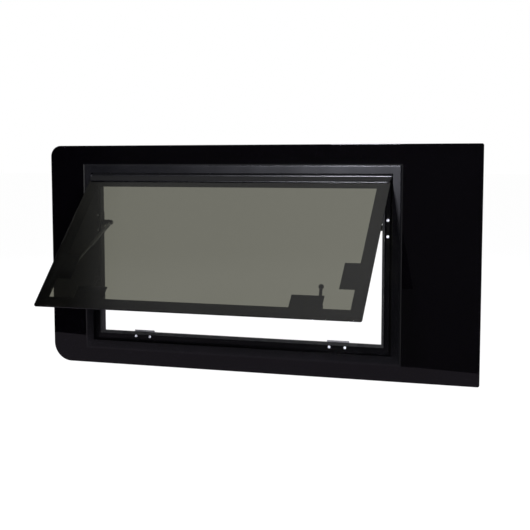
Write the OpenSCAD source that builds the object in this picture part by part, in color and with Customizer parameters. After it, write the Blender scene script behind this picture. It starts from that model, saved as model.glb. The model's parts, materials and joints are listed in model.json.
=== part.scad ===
// Top-hung opening sash in a fixed black glass side window, with two lever latches and two
// telescopic stays. Millimetres. The outside faces -Y, the room side +Y, and Z is up.
// The origin lies on the glass's inner (bonding) face, at mid width, on the lower bonding line.
// The sash is drawn held open on its stays. Distances called u run from the outer edge of the
// frame's flange towards the opening. Distances called a run down the sash from its hinge axis.

/* [Fixed glass] */
// Width of the fixed glass panel
panel_w = 1280; // [1200:10:1400]
// Height of the fixed glass panel
panel_h = 650; // [630:5:720]
// Thickness of the fixed glass panel
panel_t = 5; // [4:0.5:8]
// Corner radius, upper left as seen from outside
corner_r_ul = 32; // [4:1:50]
// Corner radius, lower left as seen from outside
corner_r_ll = 56; // [4:1:70]
// Corner radius of the two right-hand corners
corner_r_right = 5; // [2:1:30]
// Height of the bonding line above the panel's bottom edge
bond_line = 15; // [8:1:25]

/* [Frame] */
// Width over the frame's flange
frame_w = 958; // [900:2:1000]
// Height over the frame's flange
frame_h = 552; // [520:2:570]
// Frame centre, left (-) or right of the panel's centre line
frame_shift = -52; // [-70:1:70]
// Fixed glass left below the frame's flange
frame_below = 44; // [30:1:60]
// Width of the flange that lies on the glass
flange_w = 27; // [24:0.5:34]
// Thickness of the flange
flange_t = 3.8; // [3.4:0.1:5]
// Radius of the flange's outer front edge
flange_r = 3; // [1:0.25:3.25]
// Width of the hollow box behind the flange
box_w = 12; // [9:0.5:15]
// Wall thickness of the hollow profile
wall_t = 2; // [1.5:0.1:2.4]
// Width of the drain channel
channel_w = 8; // [6:0.5:12]
// Width of the seat, from the drain channel to the lip
seat_w = 17; // [16:0.5:22]
// Thickness of the lip round the opening
lip_t = 2.5; // [2:0.1:4]
// Depth of the seat's front face behind the bonding face
seat_y = 5; // [4:0.5:7]
// Depth of the frame behind the bonding face
frame_back = 17; // [15.5:0.5:24]
// Thickness of the bonding bead under the flange
bead_t = 1.2; // [0.8:0.1:2.5]
// Width of the bonding bead under the flange
bead_w = 9; // [5:0.5:9.5]
// Clearance between the profile box and the cut-out in the glass
cutout_gap = 2; // [1.9:0.1:3.5]
// Corner radius of the cut-out in the glass
cutout_r = 6; // [2:0.5:6.4]
// Leg length of the corner cleats
cleat_leg = 60; // [40:5:90]
// Clearance of a cleat in its chamber, each side
cleat_gap = 0.1; // [0.05:0.05:0.3]

/* [Opening seal] */
// Width of the seal's flap outside the lip
seal_flap_w = 4.2; // [3:0.2:6]
// Height of the seal's head in front of the lip
seal_head = 2.5; // [2:0.1:3.5]
// Depth that the flap reaches back beside the lip
seal_flap_h = 4.7; // [3:0.1:6]
// Gap between the seal and the shut sash
seal_gap = 0.3; // [0.2:0.05:0.6]

/* [Hinge] */
// Height of the hinge axis below the flange's inner edge
pivot_drop = 7; // [6.6:0.1:8]
// Depth of the hinge axis behind the flange's front face
pivot_set = 1; // [0.5:0.1:2]
// Radius of the round bead on the frame's hinge strip
pin_r = 3; // [2.5:0.1:3.2]
// Radial running clearance of the bead in its socket
pin_gap = 0.06; // [0.03:0.01:0.1]
// Wall of the socket on the sash's hinge profile
socket_wall = 1.74; // [1.4:0.02:1.9]
// Thickness of the hinge strip's web and foot
strip_t = 2; // [1.6:0.1:2.2]
// Width of the hinge strip's foot
foot_w = 11.5; // [10:0.5:13]
// Number of screws in the hinge strip
strip_screws = 6; // [4:1:9]
// Length that the end caps add to the hinge profile, each side
cap_t = 1.5; // [1:0.25:2]
// Angle that the sash stands open
open_angle = 45.2; // [35:0.1:50]

/* [Sash] */
// Gap round the sash glass, inside the flange
sash_gap = 3; // [2.75:0.25:5]
// Thickness of the sash glass
sash_t = 4; // [3.5:0.25:4.5]
// Corner radius of the sash glass
sash_r = 5; // [2:1:12]
// Thickness of the lips of the glass pocket
pocket_lip_t = 1.8; // [1.2:0.1:2.2]
// Distance from the hinge axis down to the pocket's floor
pocket_floor = 9.5; // [8.5:0.1:10.5]
// Length of the pocket's outer lip
outer_lip = 15; // [12:0.5:20]
// Length of the pocket's inner lip
inner_lip = 3; // [2:0.25:3.2]
// Thickness of the glazing bond in the pocket
glaze_t = 0.4; // [0.2:0.05:0.6]

/* [Ceramic border] */
// Thickness of the fired ceramic print
print_t = 0.2; // [0.1:0.05:0.3]
// Width of the border
border_w = 34; // [26:1:44]
// Long side of each pad field
field_long = 86; // [80:1:110]
// Short side of each pad field, inwards from the border
field_short = 40; // [38:1:60]
// Distance from the sash's side edge to the middle of a latch field
latch_field_x = 150; // [120:1:200]
// Distance from the sash's bottom edge to the middle of a stay field
stay_field_z = 140; // [120:1:180]

/* [Latches] */
// Thickness of the bonding pads
pad_t = 0.8; // [0.5:0.1:1.5]
// Length of the latch's base plate
base_l = 80; // [74:1:96]
// Width of the latch's base plate
base_h = 36; // [30:1:38]
// Thickness of the latch's base plate
base_t = 3; // [2:0.25:4]
// Radius of the spindle boss
boss_r = 11; // [9:0.5:13]
// Radius of the spindle
spindle_r = 4; // [3:0.25:5]
// Radial running clearance of the spindle
spindle_gap = 0.06; // [0.03:0.01:0.1]
// Distance from the middle of the base plate to the spindle
spindle_off = 26.5; // [20:0.5:28]
// Height of the spindle above the sash's bottom edge
spindle_z = 58; // [54:0.5:64]
// Thickness of the cam
cam_t = 3; // [2:0.25:5]
// Width of the cam
cam_w = 12; // [9:0.5:14]
// Length that the cam engages behind the strike
cam_bite = 12; // [6:0.5:16]
// Clearance between the cam and the strike
cam_gap = 0.5; // [0.3:0.1:1]
// Length from the spindle to the middle of the knob
handle_l = 70; // [50:1:90]
// Width of the handle's arm
handle_w = 8; // [6:0.5:10]
// Thickness of the handle's arm
handle_t = 5; // [4:0.25:7]
// Radius of the handle's hub
hub_r = 9; // [8:0.25:11]
// Radius of the ball knob
knob_r = 7; // [5.5:0.25:9]
// Lean of the released handle towards the middle of the window
handle_lean = 7; // [0:1:12]
// Radius of the cap that holds the handle on
cap_r = 6.5; // [5.5:0.25:8]
// Height of the cap that holds the handle on
cap_h = 2.5; // [1.5:0.25:4]

/* [Strikes and stay brackets] */
// Distance from the flange's inner edge to the middle of a strike
strike_x = 155; // [150:1:160]
// Length of the strikes and of the stay brackets
plate_l = 64; // [60:1:90]
// Thickness of their tongues
tongue_t = 2.5; // [2:0.25:4]
// Reach of the strikes' tongues past the lip into the opening
tongue_reach = 4; // [3:0.25:6]
// Spacing of their two screws
screw_pitch = 45; // [30:1:50]
// Distance of the screws outside the lip
screw_off = 10.5; // [9.5:0.25:11.5]
// Radius of the screws' shank
screw_r = 2; // [1.5:0.1:2.5]
// Radius of the screws' head
head_r = 4; // [3.5:0.1:4.2]
// Height of the screws' head
head_h = 2.4; // [1.6:0.1:3.2]
// Length of the screws' shank
screw_l = 11; // [8:0.5:11.5]

/* [Stays] */
// Drop of the stay's frame pivot below the hinge axis
stay_drop = 141; // [120:1:170]
// Depth of the stay's frame pivot behind the frame
stay_back = 10; // [9:0.5:14]
// Distance of the stay's axis from the lip, into the opening
stay_in = 16.8; // [16.6:0.1:22]
// Distance of the anchor's stud below the middle of the stay field
anchor_drop = 22; // [7:1:27]
// Height of the anchor's stud above the sash's inner face
anchor_off = 14; // [12:0.5:18]
// Radius of the stay's tube
tube_r = 5.25; // [5:0.25:6.5]
// Wall of the stay's tube
tube_wall = 1.2; // [0.8:0.1:1.6]
// Radius of the stay's rod
rod_r = 3; // [2.5:0.25:3.5]
// Running clearance of the rod and the piston
rod_gap = 0.08; // [0.04:0.01:0.1]
// Radius of the stay's two end eyes
eye_r = 7; // [6:0.25:7.5]
// Thickness of the stay's two end eyes
eye_t = 8; // [7.5:0.5:9]
// Radius of the pivot pins' journals
journal_r = 3; // [2.5:0.25:3.5]
// Running clearance of an eye on its pin
journal_gap = 0.06; // [0.03:0.01:0.1]
// Rod left showing when the sash is shut
rod_tail = 75; // [6:1:80]
// Length of the piston
piston_l = 12; // [8:1:20]
// Length of the rod guide inside the tube
guide_l = 12; // [8:1:20]
// Radius of the ears that carry the pivots
ear_r = 8; // [7:0.25:9]
// Thickness of the ears
ear_t = 2.5; // [2:0.25:3.5]
// Distance from the stay's eye to the anchor's ear
anchor_reach = 8.7; // [4:0.1:12]
// Thickness of the anchor's base plate
anchor_t = 2.5; // [2:0.25:3.5]
// Gap between the rod's eye and the anchor's stud
open_gap = 0.3; // [0.2:0.05:0.6]

/* [Hidden] */
$fn = 64;

left = -1;
right = 1;
cut = 0.5;        // how far a cutting solid runs past the face that it cuts
far = 80;         // longer than any profile is wide

// Heights and widths of the frame in the row's axes
z_panel = -bond_line;
frame_x = frame_shift;
frame_z0 = z_panel + frame_below;
frame_z1 = frame_z0 + frame_h;
frame_zc = (frame_z0 + frame_z1) / 2;

// Stations u across the frame's profile
u_box = flange_w - box_w;
u_seat = flange_w + channel_w;
u_lip = u_seat + seat_w;
u_open = u_lip + lip_t;
u_screw = u_lip - screw_off;
u_cutout = u_box - cutout_gap;
bead_u = (u_cutout - bead_w) / 2;
cleat_u = u_box + wall_t + cleat_gap;
foot_gap = 1.5;                        // between a plate's foot and the lip
screw_play = 0.2;                      // round a screw in a clearance hole
thread_play = 0.05;                    // round a screw in a tapped hole

// Depths y across the frame's profile
y_flange = -(panel_t + bead_t);
y_front = y_flange - flange_t;
box_back = seat_y + wall_t + 1;
channel_floor = box_back + wall_t;
seat_back = seat_y + wall_t;

// The sash: its glass is flush with the flange's front when it is shut
y_pivot = y_front + pivot_set;
u_pivot = flange_w + pivot_drop;
z_pivot = frame_z1 - u_pivot;
pane_out = y_front;
pane_in = pane_out + sash_t;
pane_w = frame_w - 2 * (flange_w + sash_gap);
pane_top = pocket_floor + glaze_t;
pane_bottom = z_pivot - (frame_z0 + flange_w + sash_gap);
print_in = pane_in + print_t;
pad_in = print_in + pad_t;

// The seal on the lip
seal_front = pane_in + seal_gap;
lip_front = seal_front + seal_head;

// The hinge
socket_r = pin_r + pin_gap + socket_wall;
web_angle = 40;                        // direction of the strip's web, above +Y
mouth_spare = 6;                       // degrees past the web at each end of the travel
mouth_margin = mouth_spare + asin(strip_t / 2 / (pin_r + pin_gap));
pocket_out = pane_out - glaze_t - pocket_lip_t;
pocket_in = pane_in + glaze_t + pocket_lip_t;
outer_lip_end = pocket_floor + outer_lip;
inner_lip_end = pocket_floor + inner_lip;
lip_bead_r = pocket_lip_t * 0.7;
lip_notch = [4.5, 9];                  // bevel at the ends of the outer lip

// Latches and strikes
strike_top = u_open + tongue_reach;
cam_y = frame_back + tongue_t + cam_gap;
handle_y = cam_y + cam_t;
spindle_end = handle_y + handle_t;
spindle_a = pane_bottom - spindle_z;
cam_l = z_pivot - spindle_a - frame_z0 - strike_top + cam_bite;
latch_a = pane_bottom - border_w - field_short / 2;
base_r = 4;
rib_t = 3;                             // the two ribs that brace the boss on its plate
rib_h = 4;
rib_off = 8;
rib_end = 6;
boss_play = 0.3;
boss_end = cam_y - boss_play;

// Stays
stay_u = u_open + stay_in;
stay_y = frame_back + stay_back;
stay_z = z_pivot - stay_drop;
anchor_y = pane_in + anchor_off;
anchor_a = pane_bottom - stay_field_z + anchor_drop;
anchor_ear_u = stay_u + eye_t / 2 + anchor_reach;
ear_play = 0.5;                        // between the tube and the bracket's ear
ear_u = stay_u - tube_r - ear_play;
collar_r = journal_r + 1.8;            // the pin's shoulder and its head
pin_head = 2;
pin_play = 0.2;
anchor_plate = [34, 70];
anchor_r = 3;
tube_start = eye_r + 3;
eye_neck = 4;
plug_l = 8;
// Where the sash's anchor is, in Y and Z, when the sash stands at an angle from shut
function on_sash(angle, a, y) = [
    y_pivot + (y - y_pivot) * cos(angle) - a * sin(angle),
    z_pivot - (y - y_pivot) * sin(angle) - a * cos(angle)
];
anchor_open = on_sash(open_angle, anchor_a, anchor_y);
anchor_shut = on_sash(0, anchor_a, anchor_y);
stay_open_l = norm(anchor_open - [stay_y, stay_z]);
stay_shut_l = norm(anchor_shut - [stay_y, stay_z]);
stay_tilt = atan2(stay_y - anchor_open[0], stay_z - anchor_open[1]);
rod_neck = 8;
socket_neck = eye_t / 2 - 0.2;         // narrower than the eye, which slides past the stud
guide_lip = 3;
tube_end = stay_shut_l - rod_tail - eye_r - rod_neck;
piston_at = tube_end - guide_l - piston_l - 2;

// ---- shared shapes ----

// Things at the left or the right side: drawn for the right, mirrored for the left.
// Inside, x runs from the frame's right outer edge towards the opening, so x = -u.
module at_side(side) {
    translate([frame_x, 0, 0]) mirror([side == left ? 1 : 0, 0, 0]) translate([frame_w / 2, 0, 0]) children();
}

// Carries what is drawn on the shut sash to the open sash
module on_open_sash() {
    translate([0, y_pivot, z_pivot]) rotate([-open_angle, 0, 0])
        translate([0, -y_pivot, -z_pivot]) children();
}

// A rod along X from x0 to x1, through y and z
module x_rod(r, x0, x1, y, z) {
    translate([x0, y, z]) rotate([0, 90, 0]) cylinder(r = r, h = x1 - x0);
}

// A rod along Y from y0 to y1, through x and z
module y_rod(r, y0, y1, x, z) {
    translate([x, y1, z]) rotate([90, 0, 0]) cylinder(r = r, h = y1 - y0);
}

// A box from its two far corners
module block(low, high) {
    translate(low) cube(high - low);
}

// Extrudes a drawing in X and Z from y0 to y1
module through_y(y0, y1) {
    translate([0, y1, 0]) rotate([90, 0, 0]) linear_extrude(height = y1 - y0) children();
}

// A rectangle from its low corner, with radii from the lower left, anticlockwise
module round_rect(low, size, radii) {
    corners = [[0, 0], [size[0], 0], size, [0, size[1]]];
    sx = [1, -1, -1, 1];
    sy = [1, 1, -1, -1];
    translate(low) union() {
        polygon([for (i = [0:3], k = [0:1])
            let (along_x = (i % 2 == 0) ? k : 1 - k)
            corners[i] + radii[i] * [sx[i] * along_x, sy[i] * (1 - along_x)]]);
        for (i = [0:3]) translate(corners[i] + radii[i] * [sx[i], sy[i]]) circle(r = radii[i]);
    }
}

// The area inside the station u, right round the frame
module frame_inside(u, r = 0) {
    low = [frame_x - frame_w / 2 + u, frame_z0 + u];
    size = [frame_w - 2 * u, frame_h - 2 * u];
    if (r > 0) round_rect(low, size, [r, r, r, r]);
    else translate(low) square(size);
}

// A ring from station u0 to u1 and from y0 to y1, right round the frame
module frame_ring(u0, u1, y0, y1) {
    through_y(y0, y1) difference() {
        frame_inside(u0);
        frame_inside(u1);
    }
}

// ---- fixed glass and frame ----

module fixed_glass() {
    color([0.02, 0.02, 0.025])
    through_y(-panel_t, 0) difference() {
        round_rect([-panel_w / 2, z_panel], [panel_w, panel_h],
            [corner_r_ll, corner_r_right, corner_r_right, corner_r_ul]);
        frame_inside(u_cutout, cutout_r);
    }
}

module frame_bond_bead() {
    color([0.05, 0.05, 0.05]) frame_ring(bead_u, bead_u + bead_w, y_flange, -panel_t);
}

// The hollow profile, drawn with u along x and the depth along y
module rail_section() {
    difference() {
        union() {
            translate([flange_r, y_front]) square([flange_w - flange_r, flange_t]);
            translate([0, y_front + flange_r]) square([flange_r, flange_t - flange_r]);
            intersection() {
                translate([flange_r, y_front + flange_r]) circle(r = flange_r);
                translate([0, y_front]) square([flange_r, flange_r]);
            }
            translate([u_box, y_flange]) square([box_w, box_back - y_flange]);
            translate([flange_w - wall_t, seat_y]) square([wall_t, channel_floor + wall_t - seat_y]);
            translate([flange_w - wall_t, channel_floor]) square([channel_w + 2 * wall_t, wall_t]);
            translate([u_seat, seat_y]) square([wall_t, channel_floor - seat_y + wall_t]);
            translate([u_seat, seat_y]) square([seat_w + lip_t, wall_t]);
            translate([u_lip, lip_front]) square([lip_t, frame_back - lip_front]);
        }
        translate([u_box + wall_t, y_flange + wall_t])
            square([box_w - 2 * wall_t, box_back - y_flange - 2 * wall_t]);
    }
}

// A mitred length of the profile along X, with its outer edge at z = 0
module rail(length) {
    color([0.06, 0.06, 0.07])
    intersection() {
        rotate([0, -90, 0]) linear_extrude(height = length, center = true) rail_section();
        rotate([90, 0, 0]) linear_extrude(height = far, center = true)
            polygon([[-length / 2, 0], [length / 2, 0], [length / 2 - far, far], [far - length / 2, far]]);
    }
}

// Clearance holes for two screws through the seat, on a rail drawn along X
module seat_holes(x) {
    for (k = [-1, 1])
        y_rod(screw_r + screw_play, seat_y - cut, seat_back + cut, x + k * screw_pitch / 2, u_screw);
}

module bottom_rail() {
    color([0.06, 0.06, 0.07])
    translate([frame_x, 0, frame_z0]) difference() {
        rail(frame_w);
        for (side = [left, right]) seat_holes(side * (frame_w / 2 - flange_w - strike_x));
    }
}

module top_rail() {
    color([0.06, 0.06, 0.07])
    translate([frame_x, 0, frame_z1]) difference() {
        rotate([0, 180, 0]) rail(frame_w);
        for (x = strip_screw_x)
            translate([x, strip_screw_y, -flange_w - cut]) cylinder(r = screw_r, h = wall_t + 2 * cut);
    }
}

module side_rail(side) {
    color([0.06, 0.06, 0.07])
    at_side(side) translate([0, 0, frame_zc]) rotate([0, -90, 0]) difference() {
        rail(frame_h);
        seat_holes(stay_z - frame_zc);
    }
}

module left_rail() { side_rail(left); }

module right_rail() { side_rail(right); }

// L-shaped keys that join the rails, in the hollow of the profile
module corner_cleats() {
    low = cleat_u;
    thick = box_w - 2 * wall_t - 2 * cleat_gap;
    y0 = y_flange + wall_t + cleat_gap;
    y1 = box_back - wall_t - cleat_gap;
    color([0.6, 0.6, 0.62])
    for (side = [left, right], up = [0, 1])
        at_side(side) translate([0, 0, frame_zc]) mirror([0, 0, up]) translate([0, 0, -frame_h / 2]) union() {
            block([-low - cleat_leg, y0, low], [-low, y1, low + thick]);
            block([-low - thick, y0, low], [-low, y1, low + cleat_leg]);
        }
}

module opening_seal() {
    color([0.08, 0.08, 0.08]) union() {
        frame_ring(u_lip - seal_flap_w, u_open, seal_front, lip_front);
        frame_ring(u_lip - seal_flap_w, u_lip, seal_front, lip_front + seal_flap_h);
    }
}

// ---- hinge ----

foot_z = z_pivot + pivot_drop;
web_foot_y = y_pivot + (pivot_drop - strip_t) / tan(web_angle);
foot_y = web_foot_y - strip_t / sin(web_angle);
strip_l = pane_w - 2;
strip_head_r = 3;
strip_head_h = 1.4;
strip_grip = 3;                        // how far a strip screw passes through the box's wall
strip_screw_y = foot_y + foot_w - strip_head_r - 0.5;
strip_screw_end = 8;                   // clear of a cleat's end
strip_screw_span = frame_w - 2 * (cleat_u + cleat_leg + strip_screw_end);
strip_screw_x = [for (i = [0:strip_screws - 1]) (i / (strip_screws - 1) - 0.5) * strip_screw_span];

// The frame's half of the hinge: a round bead on a web, with a foot under the top rail
module hinge_strip() {
    web_l = (pivot_drop - strip_t / 2) / sin(web_angle);
    color([0.07, 0.07, 0.08])
    difference() {
        translate([frame_x, 0, 0]) union() {
            x_rod(pin_r, -strip_l / 2, strip_l / 2, y_pivot, z_pivot);
            translate([-strip_l / 2, y_pivot, z_pivot]) rotate([web_angle, 0, 0])
                translate([0, 0, -strip_t / 2]) cube([strip_l, web_l, strip_t]);
            block([-strip_l / 2, foot_y, foot_z - strip_t], [strip_l / 2, foot_y + foot_w, foot_z]);
        }
        for (x = strip_screw_x)
            translate([frame_x + x, strip_screw_y, foot_z - strip_t - cut])
                cylinder(r = screw_r + thread_play, h = strip_t + 2 * cut);
    }
}

module hinge_strip_screws() {
    color([0.5, 0.5, 0.52])
    for (x = strip_screw_x) translate([frame_x + x, strip_screw_y, foot_z - strip_t]) union() {
        cylinder(r = screw_r, h = strip_t + wall_t + strip_grip);
        translate([0, 0, -strip_head_h]) cylinder(r = strip_head_r, h = strip_head_h);
    }
}

// The sash's half of the hinge, drawn shut with Y along x and Z along y, from the axis
module hinge_section() {
    a1 = web_angle - mouth_margin;
    a2 = web_angle + open_angle + mouth_margin;
    reach = 3 * socket_r;
    difference() {
        union() {
            circle(r = socket_r);
            translate([pocket_out - y_pivot, -pocket_floor])
                square([pocket_in - pocket_out, pocket_floor - pin_r - 1]);
            translate([pocket_out - y_pivot, -outer_lip_end]) square([pocket_lip_t, outer_lip + 1]);
            translate([pocket_out - y_pivot + pocket_lip_t - lip_bead_r, -outer_lip_end])
                circle(r = lip_bead_r);
            translate([pocket_in - y_pivot - pocket_lip_t, -inner_lip_end])
                square([pocket_lip_t, inner_lip + 1]);
        }
        circle(r = pin_r + pin_gap);
        polygon([[0, 0], reach * [cos(a1), sin(a1)], reach * [cos((a1 + a2) / 2), sin((a1 + a2) / 2)] * 1.5,
            reach * [cos(a2), sin(a2)]]);
    }
}

// Extrudes a drawing in Y and Z, from the hinge axis, along X
module along_x(x0, x1) {
    translate([x0, y_pivot, z_pivot]) rotate([90, 0, 90]) linear_extrude(height = x1 - x0) children();
}

module sash_hinge_profile() {
    x0 = frame_x - pane_w / 2;
    color([0.07, 0.07, 0.08])
    on_open_sash() difference() {
        along_x(x0, x0 + pane_w) hinge_section();
        for (side = [left, right]) at_side(side)
            through_y(pocket_out - 2, pane_out - glaze_t + 0.2)
                translate([-flange_w - sash_gap, z_pivot - outer_lip_end - lip_bead_r - cut])
                    polygon([[cut, 0], [-lip_notch[0] - 1, 0], [-lip_notch[0], lip_bead_r + cut],
                        [0, lip_bead_r + cut + lip_notch[1]], [cut, lip_bead_r + cut + lip_notch[1]]]);
    }
}

module hinge_end_caps() {
    color([0.06, 0.06, 0.06])
    on_open_sash() for (side = [left, right]) at_side(side)
        translate([-flange_w - sash_gap, 0, 0]) union() {
            x_rod(socket_r, 0, cap_t, y_pivot, z_pivot);
            block([0, pocket_out, z_pivot - pocket_floor], [cap_t, pocket_in, z_pivot]);
        }
}

// ---- sash glass ----

module sash_glass() {
    r = sash_r;
    color([0.25, 0.28, 0.24, 0.5])
    on_open_sash() through_y(pane_out, pane_in)
        round_rect([frame_x - pane_w / 2, z_pivot - pane_bottom],
            [pane_w, pane_bottom - pane_top], [r, r, r, r]);
}

// The black print on the inner face: a border, two latch fields and two stay fields
module ceramic_border() {
    low = [frame_x - pane_w / 2, z_pivot - pane_bottom];
    top = z_pivot - inner_lip_end - 0.2;
    h = top - low[1];
    inner_top = z_pivot - pane_top - border_w;
    r = sash_r;
    color([0.03, 0.03, 0.03])
    on_open_sash() through_y(pane_in, print_in) difference() {
        intersection() {
            round_rect(low, [pane_w, h + r], [r, r, r, r]);
            translate(low) square([pane_w, h]);
        }
        difference() {
            translate(low + [border_w, border_w])
                square([pane_w - 2 * border_w, inner_top - low[1] - border_w]);
            for (side = [-1, 1]) {
                translate([frame_x + side * (pane_w / 2 - latch_field_x),
                    low[1] + border_w + field_short / 2])
                    square([field_long, field_short + 2 * cut], center = true);
                translate([frame_x + side * (pane_w / 2 - border_w - field_short / 2), low[1] + stay_field_z])
                    square([field_short + 2 * cut, field_long], center = true);
            }
        }
    }
}

// The bond that holds the glass in its pocket
module glazing_bond() {
    color([0.1, 0.1, 0.1])
    on_open_sash() along_x(frame_x - pane_w / 2 + sash_r, frame_x + pane_w / 2 - sash_r) union() {
        translate([pane_out - glaze_t - y_pivot, -pane_top]) square([sash_t + 2 * glaze_t, glaze_t]);
        translate([pane_out - glaze_t - y_pivot, -outer_lip_end + lip_notch[1]])
            square([glaze_t, outer_lip_end - pane_top - lip_notch[1] + glaze_t / 2]);
        translate([pane_in - y_pivot, -inner_lip_end]) square([glaze_t, inner_lip - glaze_t / 2]);
    }
}

// ---- latches ----

// Everything of a latch is drawn shut, from the sash's side edge: x = -distance
module at_latch(side) {
    on_open_sash() at_side(side) translate([-flange_w - sash_gap, 0, 0]) children();
}

spindle_x = -latch_field_x + spindle_off;

// The outline of the latch's plate and of the pad under it
module plate_outline() {
    r = base_r;
    round_rect([-latch_field_x - base_l / 2, z_pivot - latch_a - base_h / 2], [base_l, base_h], [r, r, r, r]);
}

module latch_pad(side) {
    color([0.1, 0.1, 0.1])
    at_latch(side) through_y(print_in, pad_in) plate_outline();
}

module latch_base(side) {
    color([0.06, 0.06, 0.06])
    at_latch(side) difference() {
        union() {
            through_y(pad_in, pad_in + base_t) plate_outline();
            y_rod(boss_r, pad_in, boss_end, spindle_x, z_pivot - spindle_a);
            for (z = [-rib_off - rib_t / 2, rib_off - rib_t / 2])
                block([-latch_field_x - base_l / 2 + rib_end, pad_in, z_pivot - latch_a + z],
                    [spindle_x, pad_in + base_t + rib_h, z_pivot - latch_a + z + rib_t]);
        }
        y_rod(spindle_r + spindle_gap, pad_in + base_t / 2, boss_end + cut, spindle_x, z_pivot - spindle_a);
    }
}

module spindle(side) {
    color([0.7, 0.7, 0.72])
    at_latch(side)
        y_rod(spindle_r, pad_in + base_t / 2 + boss_play, spindle_end, spindle_x, z_pivot - spindle_a);
}

// Draws children along +x from the spindle, turned so that +x points at a clock angle:
// 0 is towards the window's middle, 90 is up
module from_spindle(side, angle) {
    at_latch(side) translate([spindle_x, 0, z_pivot - spindle_a]) mirror([1, 0, 0])
        rotate([0, -angle, 0]) children();
}

module cam(side) {
    color([0.7, 0.7, 0.72])
    from_spindle(side, -handle_lean) through_y(cam_y, cam_y + cam_t) difference() {
        union() {
            circle(r = hub_r);
            translate([0, -cam_w / 2]) square([cam_l - cam_w / 2, cam_w]);
            translate([cam_l - cam_w / 2, 0]) circle(r = cam_w / 2);
        }
        circle(r = spindle_r);
    }
}

// A flat arm that widens into its hub, with a hollow for the ball at its tip
module handle(side) {
    arm_end = handle_l - knob_r / 2;
    color([0.08, 0.08, 0.08])
    from_spindle(side, 90 - handle_lean) difference() {
        through_y(handle_y, handle_y + handle_t) difference() {
            union() {
                circle(r = hub_r);
                polygon([[0, -hub_r * 0.8], [hub_r * 2.2, -handle_w / 2], [arm_end, -handle_w / 2],
                    [arm_end, handle_w / 2], [hub_r * 2.2, handle_w / 2], [0, hub_r * 0.8]]);
            }
            circle(r = spindle_r);
        }
        ball();
    }
}

module ball() {
    translate([handle_l, handle_y + handle_t / 2, 0]) sphere(r = knob_r);
}

module knob(side) {
    color([0.08, 0.08, 0.08])
    from_spindle(side, 90 - handle_lean) ball();
}

module handle_cap(side) {
    color([0.1, 0.1, 0.1])
    at_latch(side) y_rod(cap_r, spindle_end, spindle_end + cap_h, spindle_x, z_pivot - spindle_a);
}

module left_latch_pad() { latch_pad(left); }

module right_latch_pad() { latch_pad(right); }

module left_latch_base() { latch_base(left); }

module right_latch_base() { latch_base(right); }

module left_spindle() { spindle(left); }

module right_spindle() { spindle(right); }

module left_cam() { cam(left); }

module right_cam() { cam(right); }

module left_handle() { handle(left); }

module right_handle() { handle(right); }

module left_knob() { knob(left); }

module right_knob() { knob(right); }

module left_handle_cap() { handle_cap(left); }

module right_handle_cap() { handle_cap(right); }

// ---- strikes and stay brackets ----

// A foot behind the seat and a tongue over the back of the lip, out to the station reach,
// drawn along X with the frame's outer edge at z = 0
module seat_plate(reach) {
    difference() {
        translate([-plate_l / 2, 0, 0]) union() {
            block([0, seat_back, u_screw - head_r], [plate_l, frame_back + tongue_t, u_lip - foot_gap]);
            block([0, frame_back, u_screw - head_r], [plate_l, frame_back + tongue_t, reach]);
        }
        for (k = [-1, 1])
            y_rod(screw_r + thread_play, seat_back - cut, seat_back + screw_l, k * screw_pitch / 2, u_screw);
    }
}

// The two screws of such a plate
module seat_plate_screws() {
    for (k = [-1, 1]) translate([k * screw_pitch / 2, 0, 0]) union() {
        y_rod(screw_r, seat_y - head_h, seat_y + screw_l, 0, u_screw);
        y_rod(head_r, seat_y - head_h, seat_y, 0, u_screw);
    }
}

module strike(side) {
    color([0.45, 0.45, 0.47])
    at_side(side) translate([-flange_w - strike_x, 0, frame_z0]) seat_plate(strike_top);
}

module left_strike() { strike(left); }

module right_strike() { strike(right); }

module strike_screws() {
    color([0.75, 0.75, 0.77])
    for (side = [left, right]) at_side(side)
        translate([-flange_w - strike_x, 0, frame_z0]) seat_plate_screws();
}

module stay_bracket(side) {
    color([0.08, 0.08, 0.08])
    at_side(side) difference() {
        union() {
            translate([0, 0, stay_z]) rotate([0, -90, 0]) seat_plate(u_open);
            block([-ear_u, frame_back, stay_z - ear_r], [-u_lip, frame_back + tongue_t, stay_z + ear_r]);
            block([-ear_u, frame_back, stay_z - ear_r], [-ear_u + ear_t, stay_y, stay_z + ear_r]);
            x_rod(ear_r, -ear_u, -ear_u + ear_t, stay_y, stay_z);
        }
        x_rod(journal_r, -ear_u - cut, -ear_u + ear_t + cut, stay_y, stay_z);
    }
}

module left_stay_bracket() { stay_bracket(left); }

module right_stay_bracket() { stay_bracket(right); }

module stay_bracket_screws() {
    color([0.75, 0.75, 0.77])
    for (side = [left, right]) at_side(side)
        translate([0, 0, stay_z]) rotate([0, -90, 0]) seat_plate_screws();
}

// ---- stays ----

// A turned pin: tail in the ear, shoulder against it, journal in the eye, and a head
module stay_pin(side) {
    eye_near = -stay_u + eye_t / 2;
    eye_far = -stay_u - eye_t / 2;
    color([0.7, 0.7, 0.72])
    at_side(side) union() {
        x_rod(journal_r, eye_far - pin_head, -ear_u + ear_t, stay_y, stay_z);
        x_rod(collar_r, eye_near + pin_play, -ear_u, stay_y, stay_z);
        x_rod(collar_r, eye_far - pin_head, eye_far - pin_play, stay_y, stay_z);
    }
}

module left_stay_pin() { stay_pin(left); }

module right_stay_pin() { stay_pin(right); }

// Draws children along -Z from the stay's frame pivot, swung to the open stay
module along_stay(side) {
    at_side(side) translate([-stay_u, stay_y, stay_z]) rotate([-stay_tilt, 0, 0]) children();
}

// A rod along the stay, from one distance to another from the frame pivot
module stay_rod_part(r, from, to) {
    translate([0, 0, -to]) cylinder(r = r, h = to - from);
}

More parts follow.
